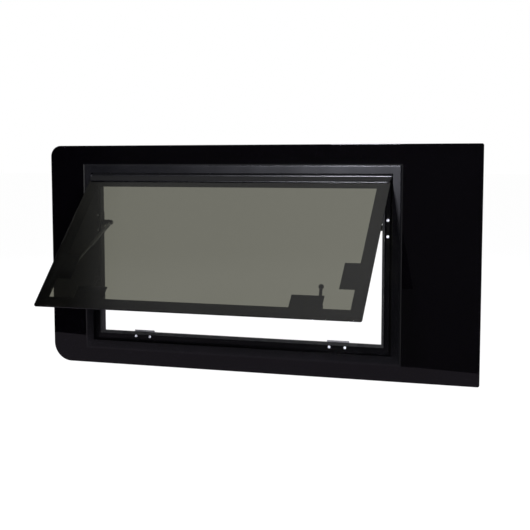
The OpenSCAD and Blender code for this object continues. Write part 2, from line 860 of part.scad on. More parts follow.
module frame_eye(side) {
    color([0.08, 0.08, 0.08])
    along_stay(side) difference() {
        union() {
            x_rod(eye_r, -eye_t / 2, eye_t / 2, 0, 0);
            stay_rod_part(eye_neck, 0, tube_start + plug_l);
            stay_rod_part(tube_r - tube_wall, tube_start, tube_start + plug_l);
        }
        x_rod(journal_r + journal_gap, -eye_t, eye_t, 0, 0);
    }
}

module stay_tube(side) {
    color([0.07, 0.07, 0.07])
    along_stay(side) difference() {
        stay_rod_part(tube_r, tube_start, tube_end);
        stay_rod_part(tube_r - tube_wall, tube_start - cut, tube_end + cut);
    }
}

module rod_guide(side) {
    color([0.1, 0.1, 0.1])
    along_stay(side) difference() {
        union() {
            stay_rod_part(tube_r - tube_wall, tube_end - guide_l, tube_end + guide_lip);
            stay_rod_part(tube_r - tube_wall / 2, tube_end, tube_end + guide_lip);
        }
        stay_rod_part(rod_r + rod_gap, tube_end - guide_l - cut, tube_end + guide_lip + cut);
    }
}

module stay_rod(side) {
    color([0.8, 0.8, 0.82])
    along_stay(side) stay_rod_part(rod_r, piston_at + piston_l, stay_open_l - eye_r - rod_neck / 2);
}

module piston(side) {
    color([0.5, 0.5, 0.5])
    along_stay(side) stay_rod_part(tube_r - tube_wall - rod_gap, piston_at, piston_at + piston_l);
}

module sash_eye(side) {
    color([0.08, 0.08, 0.08])
    along_stay(side) translate([0, 0, -stay_open_l]) union() {
        x_rod(eye_r, -eye_t / 2, eye_t / 2, 0, 0);
        difference() {
            cylinder(r = socket_neck, h = eye_r + rod_neck);
            translate([0, 0, eye_r + rod_neck / 2]) cylinder(r = rod_r, h = rod_neck);
        }
    }
}

module anchor_area(side) {
    at_latch(side)
        translate([-border_w - field_short / 2, 0, z_pivot - pane_bottom + stay_field_z]) children();
}

module anchor_outline() {
    r = anchor_r;
    round_rect(-anchor_plate / 2, anchor_plate, [r, r, r, r]);
}

module anchor_pad(side) {
    color([0.1, 0.1, 0.1])
    anchor_area(side) through_y(print_in, pad_in) anchor_outline();
}

module stay_anchor(side) {
    color([0.08, 0.08, 0.08])
    difference() {
        union() {
            anchor_area(side) through_y(pad_in, pad_in + anchor_t) anchor_outline();
            on_open_sash() at_side(side) union() {
                block([-anchor_ear_u - ear_t, pad_in, z_pivot - anchor_a - ear_r],
                    [-anchor_ear_u, anchor_y, z_pivot - anchor_a + ear_r]);
                x_rod(ear_r, -anchor_ear_u - ear_t, -anchor_ear_u, anchor_y, z_pivot - anchor_a);
            }
        }
        on_open_sash() at_side(side)
            x_rod(journal_r, -anchor_ear_u - ear_t - cut, -anchor_ear_u + cut, anchor_y, z_pivot - anchor_a);
    }
}

module anchor_stud(side) {
    color([0.7, 0.7, 0.72])
    on_open_sash() at_side(side) union() {
        x_rod(journal_r, -anchor_ear_u - ear_t, -anchor_ear_u, anchor_y, z_pivot - anchor_a);
        x_rod(collar_r, -anchor_ear_u, -stay_u - eye_t / 2 - open_gap, anchor_y, z_pivot - anchor_a);
    }
}

module left_frame_eye() { frame_eye(left); }

module right_frame_eye() { frame_eye(right); }

module left_stay_tube() { stay_tube(left); }

module right_stay_tube() { stay_tube(right); }

module left_rod_guide() { rod_guide(left); }

module right_rod_guide() { rod_guide(right); }

module left_stay_rod() { stay_rod(left); }

module right_stay_rod() { stay_rod(right); }

module left_piston() { piston(left); }

module right_piston() { piston(right); }

module left_sash_eye() { sash_eye(left); }

module right_sash_eye() { sash_eye(right); }

module left_anchor_pad() { anchor_pad(left); }

module right_anchor_pad() { anchor_pad(right); }

module left_stay_anchor() { stay_anchor(left); }

module right_stay_anchor() { stay_anchor(right); }

module left_anchor_stud() { anchor_stud(left); }

module right_anchor_stud() { anchor_stud(right); }

fixed_glass();
frame_bond_bead();
top_rail();
bottom_rail();
left_rail();
right_rail();
corner_cleats();
opening_seal();
hinge_strip();
hinge_strip_screws();
left_strike();
right_strike();
strike_screws();
left_stay_bracket();
right_stay_bracket();
stay_bracket_screws();
left_stay_pin();
right_stay_pin();
sash_glass();
ceramic_border();
sash_hinge_profile();
hinge_end_caps();
glazing_bond();
left_latch_pad();
right_latch_pad();
left_latch_base();
right_latch_base();
left_spindle();
right_spindle();
left_cam();
right_cam();
left_handle();
right_handle();
left_knob();
right_knob();
left_handle_cap();
right_handle_cap();
left_anchor_pad();
right_anchor_pad();
left_stay_anchor();
right_stay_anchor();
left_anchor_stud();
right_anchor_stud();
left_stay_tube();
right_stay_tube();
left_frame_eye();
right_frame_eye();
left_rod_guide();
right_rod_guide();
left_stay_rod();
right_stay_rod();
left_piston();
right_piston();
left_sash_eye();
right_sash_eye();
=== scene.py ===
# %% [markdown]
# # An opening side window
# A van's side window is a big sheet of black glass with a hole in it. A black aluminium frame sits
# in that hole, and a smaller tinted pane, the sash, hangs in the frame from a hinge along its top
# edge. Here it stands open on two telescopic stays. The shapes come from a CAD model that is
# already in place, in metres, with the outside facing -Y. This notebook gives them their looks. It
# eases the corners, models the small parts that need more form, makes every finish from nodes, and
# sets up the light and the camera.

# %% Load the model and keep its size
import json
import math
import bmesh
import bpy
from mathutils import Matrix, Vector


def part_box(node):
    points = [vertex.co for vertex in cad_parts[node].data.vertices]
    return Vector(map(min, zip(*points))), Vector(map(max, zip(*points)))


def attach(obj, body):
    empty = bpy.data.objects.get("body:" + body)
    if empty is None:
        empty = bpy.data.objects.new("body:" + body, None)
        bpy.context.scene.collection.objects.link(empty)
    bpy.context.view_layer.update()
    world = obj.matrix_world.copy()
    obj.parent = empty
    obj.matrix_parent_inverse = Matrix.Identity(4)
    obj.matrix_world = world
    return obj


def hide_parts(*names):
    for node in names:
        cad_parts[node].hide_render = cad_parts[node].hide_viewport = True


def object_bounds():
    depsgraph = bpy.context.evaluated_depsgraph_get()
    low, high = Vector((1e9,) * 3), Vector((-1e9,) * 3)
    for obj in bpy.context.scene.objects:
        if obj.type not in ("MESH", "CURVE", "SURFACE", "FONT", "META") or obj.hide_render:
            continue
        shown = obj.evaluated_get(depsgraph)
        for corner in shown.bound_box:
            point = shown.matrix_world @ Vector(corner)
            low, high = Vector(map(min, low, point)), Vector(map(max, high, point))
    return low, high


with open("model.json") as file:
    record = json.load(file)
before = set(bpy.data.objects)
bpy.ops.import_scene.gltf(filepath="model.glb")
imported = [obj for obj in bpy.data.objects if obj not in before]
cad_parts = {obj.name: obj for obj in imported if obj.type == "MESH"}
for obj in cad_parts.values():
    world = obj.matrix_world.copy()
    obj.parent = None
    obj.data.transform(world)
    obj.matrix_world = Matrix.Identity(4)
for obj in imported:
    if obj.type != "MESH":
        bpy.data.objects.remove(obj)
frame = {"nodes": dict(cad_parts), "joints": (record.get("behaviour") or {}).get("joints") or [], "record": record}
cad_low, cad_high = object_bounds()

MM = 0.001
nodes = frame["nodes"]
record = frame["record"]
joints = {joint["name"]: joint for joint in frame["joints"]}
bodies = record["behaviour"]["bodies"]
body_of = {node: body for body, members in bodies.items() for node in members}
slot_of = {part["node"]: part["material_slot"] for part in record["subparts"]}
print("nodes:", len(nodes), "bodies:", len(bodies))

# %% [markdown]
# ## A finish and its grain
# A finish is a small tree of nodes around one shader. What is the same all over it, such as how
# metallic it is, is typed on the shader itself. What varies is driven by a noise that sits still on
# the part. The noise reads object coordinates, which are metres here, so a grain can be given its
# real size, and a stretch makes it longer along one axis.

# %% A new finish and a noise for it
def shader_of(finish):
    """The shader that every finish is built round."""
    return finish.node_tree.nodes["Principled BSDF"]


def start_finish(name, **sockets):
    """A new material whose shader has the given plain values."""
    finish = bpy.data.materials.new(name)
    finish.use_nodes = True
    for socket, value in sockets.items():
        shader_of(finish).inputs[socket.replace("_", " ")].default_value = value
    return finish


def grain(finish, size, detail, stretch=(1, 1, 1)):
    """Noise with features of about that size in metres, fixed to the part."""
    tree = finish.node_tree
    place = tree.nodes.new("ShaderNodeTexCoord")
    scale = tree.nodes.new("ShaderNodeMapping")
    scale.inputs["Scale"].default_value = [1 / (size * longer) for longer in stretch]
    noise = tree.nodes.new("ShaderNodeTexNoise")
    noise.inputs["Scale"].default_value = 1.0
    noise.inputs["Detail"].default_value = detail
    tree.links.new(place.outputs["Object"], scale.inputs["Vector"])
    tree.links.new(scale.outputs["Vector"], noise.inputs["Vector"])
    return noise.outputs["Fac"]


print("grain ready")

# %% [markdown]
# ## What a grain can do
# A grain is a number at each point, mostly between 0.35 and 0.65. It can move the colour between a
# dark and a light one, change how rough the surface is, or raise and sink it as a bump. Each is
# slight, but together they tell the eye that this is a material and not a fill of paint.

# %% Colour, roughness and bump
GRAIN_LOW, GRAIN_HIGH = 0.35, 0.65


def vary_colour(finish, noise, dark, light):
    """Moves the colour between dark and light, in step with a noise."""
    tree = finish.node_tree
    ramp = tree.nodes.new("ShaderNodeValToRGB")
    stops = ((GRAIN_LOW, dark), (GRAIN_HIGH, light))
    for element, (position, colour) in zip(ramp.color_ramp.elements, stops):
        element.position = position
        element.color = (*colour, 1)
    tree.links.new(noise, ramp.inputs["Fac"])
    tree.links.new(ramp.outputs["Color"], shader_of(finish).inputs["Base Color"])


def vary_roughness(finish, noise, low, high):
    """Moves the roughness between low and high, in step with a noise."""
    tree = finish.node_tree
    span = tree.nodes.new("ShaderNodeMapRange")
    ends = {"From Min": GRAIN_LOW, "From Max": GRAIN_HIGH, "To Min": low, "To Max": high}
    for socket, value in ends.items():
        span.inputs[socket].default_value = value
    tree.links.new(noise, span.inputs["Value"])
    tree.links.new(span.outputs["Result"], shader_of(finish).inputs["Roughness"])


def raise_bump(finish, noise, depth):
    """Raises and sinks the surface by about that depth in metres."""
    tree = finish.node_tree
    bump = tree.nodes.new("ShaderNodeBump")
    bump.inputs["Distance"].default_value = depth
    tree.links.new(noise, bump.inputs["Height"])
    tree.links.new(bump.outputs["Normal"], shader_of(finish).inputs["Normal"])


print("ready: colour, roughness, bump")

# %% [markdown]
# ## Black privacy glass
# The fixed pane is toughened glass, so dark that nothing shows through. Its look is all reflection:
# a hard, clean gloss over black. Toughening leaves the sheet very slightly wavy, which bends long
# reflections, and handling leaves a film that is only seen where light grazes it. Both are noises
# here, one wide and shallow, one that changes the roughness a little.

# %% Black privacy glass
privacy_glass = start_finish("black privacy glass", IOR=1.5,
                             Base_Color=(0.0004, 0.0003, 0.0005, 1))
film = grain(privacy_glass, size=0.12, detail=6)
vary_roughness(privacy_glass, film, low=0.012, high=0.05)
waves = grain(privacy_glass, size=0.22, detail=1, stretch=(1.6, 1, 0.7))
raise_bump(privacy_glass, waves, depth=0.00012)
print("made:", privacy_glass.name)

# %% [markdown]
# ## Powder coat on aluminium, and painted shade on the hinge's bead
# The frame's profile is extruded aluminium under a satin black coat. Up close the coat is never
# quite flat: the powder melts into a fine orange peel. Its gloss also varies a little along the
# length. The frame's half of the hinge is a bead that the sash's socket turns on. It sits deep in
# the gap under the flange, and its finish is painted shade: a blacker colour and a weak, dull gloss,
# so that the gap reads as shade. Fine lines run along it from the drawing.

# %% Coated aluminium, and aluminium with painted shade
coated_aluminium = start_finish("black coated aluminium", IOR=1.5)
cloud = grain(coated_aluminium, size=0.06, detail=3)
vary_colour(coated_aluminium, cloud, dark=(0.0008, 0.0008, 0.0011), light=(0.0012, 0.0011, 0.0015))
vary_roughness(coated_aluminium, cloud, low=0.235, high=0.255)
peel = grain(coated_aluminium, size=0.0011, detail=2)
raise_bump(coated_aluminium, peel, depth=0.000005)

# Painted shade: a blacker colour and a weak, dull gloss for the hinge's bead, so the gap it sits in reads as shade
painted_shade_aluminium = start_finish("dyed aluminium", Roughness=0.55, Specular_IOR_Level=0.12)
cloud = grain(painted_shade_aluminium, size=0.02, detail=3)
vary_colour(painted_shade_aluminium, cloud, dark=(0.0005, 0.0005, 0.0006), light=(0.0009, 0.0009, 0.001))
drawn = grain(painted_shade_aluminium, size=0.0008, detail=2, stretch=(20, 1, 1))
raise_bump(painted_shade_aluminium, drawn, depth=0.00001)
print("made:", coated_aluminium.name, "and", painted_shade_aluminium.name)

# %% [markdown]
# ## Tinted sash glass
# The sash lets about a seventh of the light through, with a grey-green cast. The shader shares its
# tint out between the two faces that the light crosses, so the colour typed here is the whole
# pane's. Light that bounces inside goes through the tint again, which is why the pane looks black
# before black.

# %% Tinted glass
tinted_glass = start_finish("tinted glass", Base_Color=(0.15, 0.15, 0.121, 1), IOR=1.5,
                            Roughness=0.0, Transmission_Weight=1.0)
waves = grain(tinted_glass, size=0.25, detail=1, stretch=(1, 1.5, 1.5))
raise_bump(tinted_glass, waves, depth=0.00008)
print("made:", tinted_glass.name)

# %% [markdown]
# ## Fired ceramic print
# The black border is enamel, fired onto the inner face. From outside it is seen through the glass,
# where it is deep black and even. From inside it is a fine matt skin with the grain of a screen
# print.

# %% Ceramic print
ceramic_print = start_finish("fired ceramic print", Roughness=0.55, IOR=1.5)
cloud = grain(ceramic_print, size=0.03, detail=5)
vary_colour(ceramic_print, cloud, dark=(0.0012, 0.0012, 0.0012), light=(0.002, 0.002, 0.0021))
screen_mesh = grain(ceramic_print, size=0.0006, detail=1)
raise_bump(ceramic_print, screen_mesh, depth=0.00001)
print("made:", ceramic_print.name)

# %% [markdown]
# ## Rubber, sealant and moulded nylon
# These are all black and all dull, but not the same black. Rubber has a soft, dusty bloom and a
# fine grain. Sealant is smooth and a little wet. Glass-filled nylon, the levers' material, has a
# spark-eroded texture that makes a broad soft sheen.

# %% Rubber, sealant and nylon
seal_rubber = start_finish("seal rubber", Roughness=0.5, Specular_IOR_Level=0.25)
bloom = grain(seal_rubber, size=0.02, detail=6)
vary_colour(seal_rubber, bloom, dark=(0.012, 0.012, 0.012), light=(0.017, 0.017, 0.016))
pores = grain(seal_rubber, size=0.0005, detail=3)
raise_bump(seal_rubber, pores, depth=0.00003)

black_sealant = start_finish("black sealant", Roughness=0.4, Specular_IOR_Level=0.4)
cloud = grain(black_sealant, size=0.015, detail=3)
vary_colour(black_sealant, cloud, dark=(0.003, 0.003, 0.003), light=(0.006, 0.006, 0.006))
raise_bump(black_sealant, cloud, depth=0.0002)

moulded_nylon = start_finish("moulded nylon", IOR=1.5)
cloud = grain(moulded_nylon, size=0.012, detail=4)
vary_colour(moulded_nylon, cloud, dark=(0.003, 0.003, 0.0033), light=(0.006, 0.006, 0.0063))
vary_roughness(moulded_nylon, cloud, low=0.36, high=0.48)
spark = grain(moulded_nylon, size=0.0006, detail=2)
raise_bump(moulded_nylon, spark, depth=0.00003)
print("made:", seal_rubber.name + ",", black_sealant.name, "and", moulded_nylon.name)

# %% [markdown]
# ## Steel
# Screws and strikes are zinc-plated. Plating follows the turned or rolled surface beneath, so one
# noise is stretched along it, and another makes its gloss patchy. The pins and cams are bare turned
# steel, and the stay's tube is drawn, which leaves it dark grey. One helper makes all four, because
# they differ only in colour and polish.

# %% Steel
SHADE = 0.72               # the patches' darkest colour, against the lightest
SMOOTHER, DULLER = 0.8, 1.35


def steel(name, colour, roughness, metallic):
    """Steel with patchy gloss and fine lines."""
    finish = start_finish(name, Metallic=metallic)
    patch = grain(finish, size=0.0072, detail=5)
    vary_colour(finish, patch, dark=[SHADE * channel for channel in colour], light=colour)
    vary_roughness(finish, patch, low=SMOOTHER * roughness, high=DULLER * roughness)
    scratches = grain(finish, size=0.0012, detail=3, stretch=(6, 1, 1))
    raise_bump(finish, scratches, depth=0.00001)
    return finish


bright_zinc = steel("bright zinc plate", (0.9, 0.91, 0.93), roughness=0.4, metallic=0.35)
dull_zinc = steel("dull zinc plate", (0.4, 0.39, 0.4), roughness=0.45, metallic=0.5)
turned_steel = steel("turned steel", (0.6, 0.6, 0.62), roughness=0.3, metallic=1.0)
drawn_tube = steel("drawn tube", (0.35, 0.35, 0.36), roughness=0.3, metallic=0.5)
print("steels: 4")

# %% [markdown]
# ## The other metals
# The stay's rod is ground to size, so it has fine rings round it and a soft sheen. Its brackets and
# anchors are lacquered black. The keys inside the frame's corners are bare aluminium, with the
# lines of the die along them.

# %% Rod, lacquer and bare aluminium
ground_rod = start_finish("polished rod", Metallic=1.0)
turned = grain(ground_rod, size=0.0009, detail=2, stretch=(8, 1, 1))
vary_colour(ground_rod, turned, dark=(0.3, 0.3, 0.31), light=(0.42, 0.42, 0.43))
vary_roughness(ground_rod, turned, low=0.26, high=0.38)

black_lacquer = start_finish("black lacquer", IOR=1.5)
cloud = grain(black_lacquer, size=0.02, detail=4)
vary_colour(black_lacquer, cloud, dark=(0.003, 0.003, 0.003), light=(0.005, 0.005, 0.005))
vary_roughness(black_lacquer, cloud, low=0.22, high=0.34)
raise_bump(black_lacquer, grain(black_lacquer, size=0.002, detail=2), depth=0.00002)

bare_aluminium = start_finish("bare aluminium", Metallic=1.0, Roughness=0.35)
drawn = grain(bare_aluminium, size=0.0008, detail=3, stretch=(20, 1, 1))
vary_colour(bare_aluminium, drawn, dark=(0.55, 0.55, 0.56), light=(0.78, 0.78, 0.79))
raise_bump(bare_aluminium, drawn, depth=0.00001)
print("made:", ground_rod.name + ",", black_lacquer.name, "and", bare_aluminium.name)

# %% [markdown]
# ## Give every part its finish
# The record names a material slot for each CAD part. One table ties those slots to the finishes
# above, and each part's own slot is filled from it. The two tubes share a slot with the lacquered
# brackets, and are given their drawn steel by name.

# %% Put the finishes on
finish_of = {
    "privacy_glass": privacy_glass,
    "black_aluminium": coated_aluminium,
    "bare_aluminium": bare_aluminium,
    "seal_rubber": seal_rubber,
    "black_sealant": black_sealant,
    "tinted_glass": tinted_glass,
    "black_ceramic": ceramic_print,
    "steel_screws": bright_zinc,
    "strike_steel": dull_zinc,
    "bare_steel": turned_steel,
    "polished_rod": ground_rod,
    "black_steel": black_lacquer,
    "black_plastic": moulded_nylon,
}


def put_finish(thing, finish):
    """Makes that finish the only one on an object."""
    thing.data.materials.clear()
    thing.data.materials.append(finish)


for node, thing in nodes.items():
    put_finish(thing, finish_of[slot_of[node]])
for node in ("left_stay_tube", "right_stay_tube"):
    put_finish(nodes[node], drawn_tube)
print("parts with a finish:", len(nodes))

# %% [markdown]
# ## Standing in for a CAD part
# A CAD part's own mesh is never edited. A new mesh is shown in its place, with the same finish, and
# rides on the same body, so it moves when that body does. Its shading is smooth and breaks only at
# sharp corners. Weighted normals then lean each corner's shading towards the larger face, so flat
# stays flat.

# %% Stand-ins
SHARP_ANGLE = math.radians(35)


def as_mesh(work, name):
    """Turns mesh data that is open for editing into a mesh, and closes it."""
    mesh = bpy.data.meshes.new(name)
    work.to_mesh(mesh)
    work.free()
    return mesh


def stand_in(node, mesh, ending="_made"):
    """Shows a new mesh in place of a CAD node."""
    piece = bpy.data.objects.new(node + ending, mesh)
    bpy.context.scene.collection.objects.link(piece)
    put_finish(piece, finish_of[slot_of[node]])
    mesh.shade_smooth()
    mesh.set_sharp_from_angle(angle=SHARP_ANGLE)
    piece.modifiers.new("flat faces", "WEIGHTED_NORMAL").keep_sharp = True
    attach(piece, body_of[node])
    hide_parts(node)
    return piece


print("stand-ins ready")

# %% [markdown]
# ## Working on a copy
# A CAD solid arrives as loose triangles, whose points only touch. Two helpers make it ready for
# work. One copies it and welds the points that lie on each other. The other makes a new mesh from a
# mesh and one modifier, so that a bevel or a cut becomes real geometry.

# %% Weld and modify
WELD_DISTANCE = 0.002 * MM


def modified(mesh, kind, **settings):
    """A new mesh, made from another by one modifier."""
    thing = bpy.data.objects.new("work", mesh)
    bpy.context.scene.collection.objects.link(thing)
    modifier = thing.modifiers.new(kind, kind)
    for setting, value in settings.items():
        setattr(modifier, setting, value)
    graph = bpy.context.evaluated_depsgraph_get()
    result = bpy.data.meshes.new_from_object(thing.evaluated_get(graph))
    bpy.data.objects.remove(thing)
    return result


def welded(node):
    """A CAD node's mesh, open for editing, with its seams welded."""
    work = bmesh.new()
    work.from_mesh(nodes[node].data)
    bmesh.ops.remove_doubles(work, verts=work.verts, dist=WELD_DISTANCE)
    return work


print("welds points closer than", WELD_DISTANCE / MM, "mm")

# %% [markdown]
# ## Eased corners
# A CAD solid has perfectly sharp corners, and no real thing does. A real corner is a tiny curve,
# and it catches a bright line of light, which is how we read the edge of something black. The
# helper below takes a welded copy, merges its flat triangles into whole faces, and bevels what is
# still sharp. Each part gets the radius that its making would leave: small on stamped steel, larger
# on a moulded lever.

# %% Ease the corners of the solids
FLAT_ANGLE = math.radians(0.3)
BEVEL_ANGLE = math.radians(38)
CORNER_RADII = {  # in millimetres
    "fixed_glass": 0.8,
    "hinge_strip": 0.3, "hinge_end_caps": 0.4,
    "left_strike": 0.4, "right_strike": 0.4,
    "left_stay_bracket": 0.5, "right_stay_bracket": 0.5,
    "left_latch_base": 0.8, "right_latch_base": 0.8,
    "left_cam": 0.4, "right_cam": 0.4,
    "left_handle": 1.2, "right_handle": 1.2,
    "left_handle_cap": 0.8, "right_handle_cap": 0.8,
    "left_stay_anchor": 0.6, "right_stay_anchor": 0.6,
    "left_rod_guide": 0.5, "right_rod_guide": 0.5,
    "sash_glass": 0.5,
}


def ease(node, radius):
    """Stands in for a CAD solid with a copy whose corners are rounded."""
    work = welded(node)
    bmesh.ops.dissolve_limit(work, angle_limit=FLAT_ANGLE, verts=work.verts, edges=work.edges)
    mesh = modified(as_mesh(work, node), "BEVEL", width=radius, segments=2, limit_method="ANGLE",
                    angle_limit=BEVEL_ANGLE, use_clamp_overlap=False)
    return stand_in(node, mesh, "_eased")


eased = {node: ease(node, radius * MM) for node, radius in CORNER_RADII.items()}
# The hinge's bead takes the finish with painted shade, for the deep gap under the flange
put_finish(eased["hinge_strip"], painted_shade_aluminium)
print("eased:", len(eased))

# %% [markdown]
# ## Outlines
# The frame and the hinge are extrusions: one outline, pushed through a die and cut to length. An
# outline is a short list of corners, each with the radius that the die gives it. A radius becomes a
# short arc that touches both sides of its corner.

# %% Arcs and rounded outlines
def arc(centre, radius, start, end, steps):
    """Points along an arc, with its angles in degrees."""
    turns = [math.radians(start + (end - start) * k / steps) for k in range(steps + 1)]
    return [centre + radius * Vector((math.cos(turn), math.sin(turn))) for turn in turns]


def rounded(corners, steps=4):
    """An outline from corners (a, b, radius), each one made an arc unless its radius is 0."""
    outline = []
    for index, (a, b, radius) in enumerate(corners):
        here = Vector((a, b))
        if radius == 0:
            outline.append(here)
            continue
        back = (Vector(corners[index - 1][:2]) - here).normalized()
        ahead = (Vector(corners[(index + 1) % len(corners)][:2]) - here).normalized()
        half = back.angle(ahead) / 2
        centre = here + (back + ahead).normalized() * radius / math.sin(half)
        start = here + back * radius / math.tan(half) - centre
        end = here + ahead * radius / math.tan(half) - centre
        first = math.degrees(math.atan2(start.y, start.x))
        turn = (math.degrees(math.atan2(end.y, end.x)) - first + 180) % 360 - 180
        outline += arc(centre, radius, first, first + turn, steps)
    return outline


print("points on one rounded corner:", len(rounded([(0, 0, 0), (1, 0, 0.2), (1, 1, 0)])) - 2)

# %% [markdown]
# ## Sweeps
# A sweep draws walls between copies of an outline, as a die does along a bar. A bar gets two flat
# ends. A ring, such as the rubber seal that goes right round the opening, closes on itself.

# %% Sweep
def sweep(name, rings, closed=False):
    """A mesh with walls between rings of points, and with flat ends unless it closes on itself."""
    count = len(rings[0])
    points = [point for ring in rings for point in ring]
    faces = []
    for step in range(len(rings) if closed else len(rings) - 1):
        a = step * count
        b = (step + 1) % len(rings) * count
        faces += [(a + i, a + (i + 1) % count, b + (i + 1) % count, b + i) for i in range(count)]
    if not closed:
        faces.append(tuple(reversed(range(count))))
        faces.append(tuple(range(len(points) - count, len(points))))
    mesh = bpy.data.meshes.new(name)
    mesh.from_pydata(points, [], faces)
    work = bmesh.new()
    work.from_mesh(mesh)
    bmesh.ops.recalc_face_normals(work, faces=work.faces)
    work.to_mesh(mesh)
    work.free()
    return mesh


print("sweep ready")

# %% [markdown]
# ## The frame's four rails and the seal
# The rail is thin where it is seen and deep where it is hidden: a wide flange laps over the glass,
# and behind it come a box, a drain channel, a seat and a lip. The flange's outer edge slopes in two
# steps, so that a hand or a brush slides over it. A short steep rim draws the pale line round the
# frame, a gentle slope leads up from it, and a well rounded ridge ends that. The rails meet in
# mitres, so each ring of points simply lies on the diagonal of its corner. The seal's lip stands
# taller along the sill, where water would run in.

# %% Rails and seal
# Corners as (distance from the frame's outer edge, depth, radius), in millimetres
RAIL = [
    (0, -6.2, 0), (0, -7.0, 0.2), (2, -8.4, 0.5), (5.6, -10, 2.5),      # rim, slope and ridge
    (26.4, -10, 0.5), (27, 10, 0.6), (35, 10, 0.6), (35, 5, 0.8),       # flange and drain channel
    (52, 5, 0.6), (52, -3.2, 0.4), (54.5, -3.2, 0.4), (54.5, 17, 0.7),  # seat and lip
    (52, 17, 0.7), (52, 7, 0), (37, 7, 0), (37, 12, 0.3),               # back along the room side
    (25, 12, 0.3), (25, 8, 0), (15, 8, 0.3), (15, -6.2, 0),
]
SEAL = [
    (48.2, -5.7, 0.8), (54.9, -5.7, 1.6), (54.9, -3.1, 0.6), (52.05, -3.1, 0),
    (52.05, 1.5, 0.5), (50.6, 1.5, 0.5), (50.2, -3.4, 0.5), (48.2, -4.2, 0.6),
]
SEAL_LIP_START, SILL_RISE = 53, 2      # from where, and by how much, the seal stands taller
frame_low = Vector((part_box("left_rail")[0].x, 0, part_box("bottom_rail")[0].z))
frame_high = Vector((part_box("right_rail")[1].x, 0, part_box("top_rail")[1].z))


def frame_corner(index, outline, lip_rise=0):
    """An outline on the mitre of one corner of the frame: 0 is lower left, then anticlockwise."""
    at_left, at_sill = index in (0, 3), index in (0, 1)
    ring = []
    for station, depth in outline:
        x = frame_low.x + station * MM if at_left else frame_high.x - station * MM
        if at_sill and station > SEAL_LIP_START:
            station += lip_rise
        z = frame_low.z + station * MM if at_sill else frame_high.z - station * MM
        ring.append(Vector((x, depth * MM, z)))
    return ring


for index, node in enumerate(("bottom_rail", "right_rail", "top_rail", "left_rail")):
    stand_in(node, sweep(node, [frame_corner(k, rounded(RAIL)) for k in (index, (index + 1) % 4)]))
seal_rings = [frame_corner(k, rounded(SEAL), SILL_RISE) for k in range(4)]
stand_in("opening_seal", sweep("opening_seal", seal_rings, closed=True))
print("rails: 4, seal: 1")

# %% [markdown]
# ## Directions on the tilted sash
# The sash leans out at an angle, and the profile on its top edge leans with it. Its outline is
# easier to think of in the sash's own directions: out of the pane, and down the pane. The hinge's
# joint gives the line and the angle, so nothing has to be measured again.

# %% The sash's own directions
hinge = joints["sash_hinge"]
hinge_point = Vector(hinge["pos_m"])
open_angle = math.radians(hinge["range_deg"][1])
pane_out = Vector((0, -math.cos(open_angle), math.sin(open_angle)))
pane_down = Vector((0, -math.sin(open_angle), -math.cos(open_angle)))


def on_pane(x, out, down):
    """A point from the hinge line, in the open sash's own directions."""
    return Vector((x, hinge_point.y, hinge_point.z)) + out * pane_out + down * pane_down


print("sash stands open at", round(math.degrees(open_angle), 1), "degrees")

# %% [markdown]
# ## The sash's half of the hinge
# The profile is one extrusion with two jobs. Its rolled top is an open C that turns round the
# frame's bead, and below it two lips hold the glass. The outer lip ends in a small bead that stops
# a fingernail or a wet cloth from catching. At both ends the lip is cut away at a slant, to clear
# the frame's corner.

# %% Hinge profile
# Lengths are in millimetres and angles in degrees, from the hinge line
SOCKET_OUTER, SOCKET_BORE = 4.2, 3.06   # the C's two radii
MOUTH = (194.9, 290.3)                  # where the C is open
SHOULDER = 3.3                          # where the C runs into the lips
POCKET_TOP, INNER_LIP_END, OUTER_LIP_END = 9.5, 12.5, 24.5
GLASS_BACK, GLASS_FRONT = -3.4, 1.4     # the pocket's two sides
INNER_FACE, OUTER_FACE = -5.2, 3.2
BEAD_RADIUS, BEAD_TURN = 2.52, (88, -32)
SLANT_ACROSS, SLANT_DOWN = 4.5, 9       # what is cut from the outer lip at both ends
shoulder_angle = math.degrees(math.acos(SHOULDER / SOCKET_OUTER))


def sharp(points):
    """Points as the corners of an outline that aren't rounded."""
    return [(a, b, 0) for a, b in points]


def hinge_outline(lip_end):
    """The profile's outline as points (out of the pane, down the pane) from the hinge line."""
    centre = Vector((0, 0))
    roll = arc(centre, SOCKET_OUTER, MOUTH[0], 90 + shoulder_angle, 9)
    nose = arc(centre, SOCKET_OUTER, 90 - shoulder_angle, MOUTH[1] - 360, 12)
    bore = arc(centre, SOCKET_BORE, MOUTH[1] - 360, MOUTH[0], 16)
    inner = [(INNER_FACE, SHOULDER, 0.7), (INNER_FACE, INNER_LIP_END, 0.7),
             (GLASS_BACK, INNER_LIP_END, 0.5), (GLASS_BACK, POCKET_TOP, 0),
             (GLASS_FRONT, POCKET_TOP, 0)]
    bead = arc(Vector((GLASS_FRONT, lip_end - BEAD_RADIUS / 2)), BEAD_RADIUS, *BEAD_TURN, 12)
    outer = [(OUTER_FACE, SHOULDER + 0.6, 0.3)]
    return rounded(sharp(roll) + inner + sharp(bead) + outer + sharp(nose) + sharp(bore))


glass_low, glass_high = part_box("sash_glass")
short_lip = OUTER_LIP_END - SLANT_DOWN
stations = [(glass_low.x, short_lip), (glass_low.x + SLANT_ACROSS * MM, OUTER_LIP_END),
            (glass_high.x - SLANT_ACROSS * MM, OUTER_LIP_END), (glass_high.x, short_lip)]
rings = [[on_pane(x, a * MM, b * MM) for a, b in hinge_outline(lip_end)] for x, lip_end in stations]
stand_in("sash_hinge_profile", sweep("sash_hinge_profile", rings))
print("hinge profile:", len(rings[0]), "points round")

# %% [markdown]
# ## Turned shapes
# A screw or a bush is turned on a lathe: one outline, spun about an axis. This helper does the same
# with an outline of radii and heights. Another joins two meshes into one solid, or cuts one from
# the other, which is how a shape gets a recess.

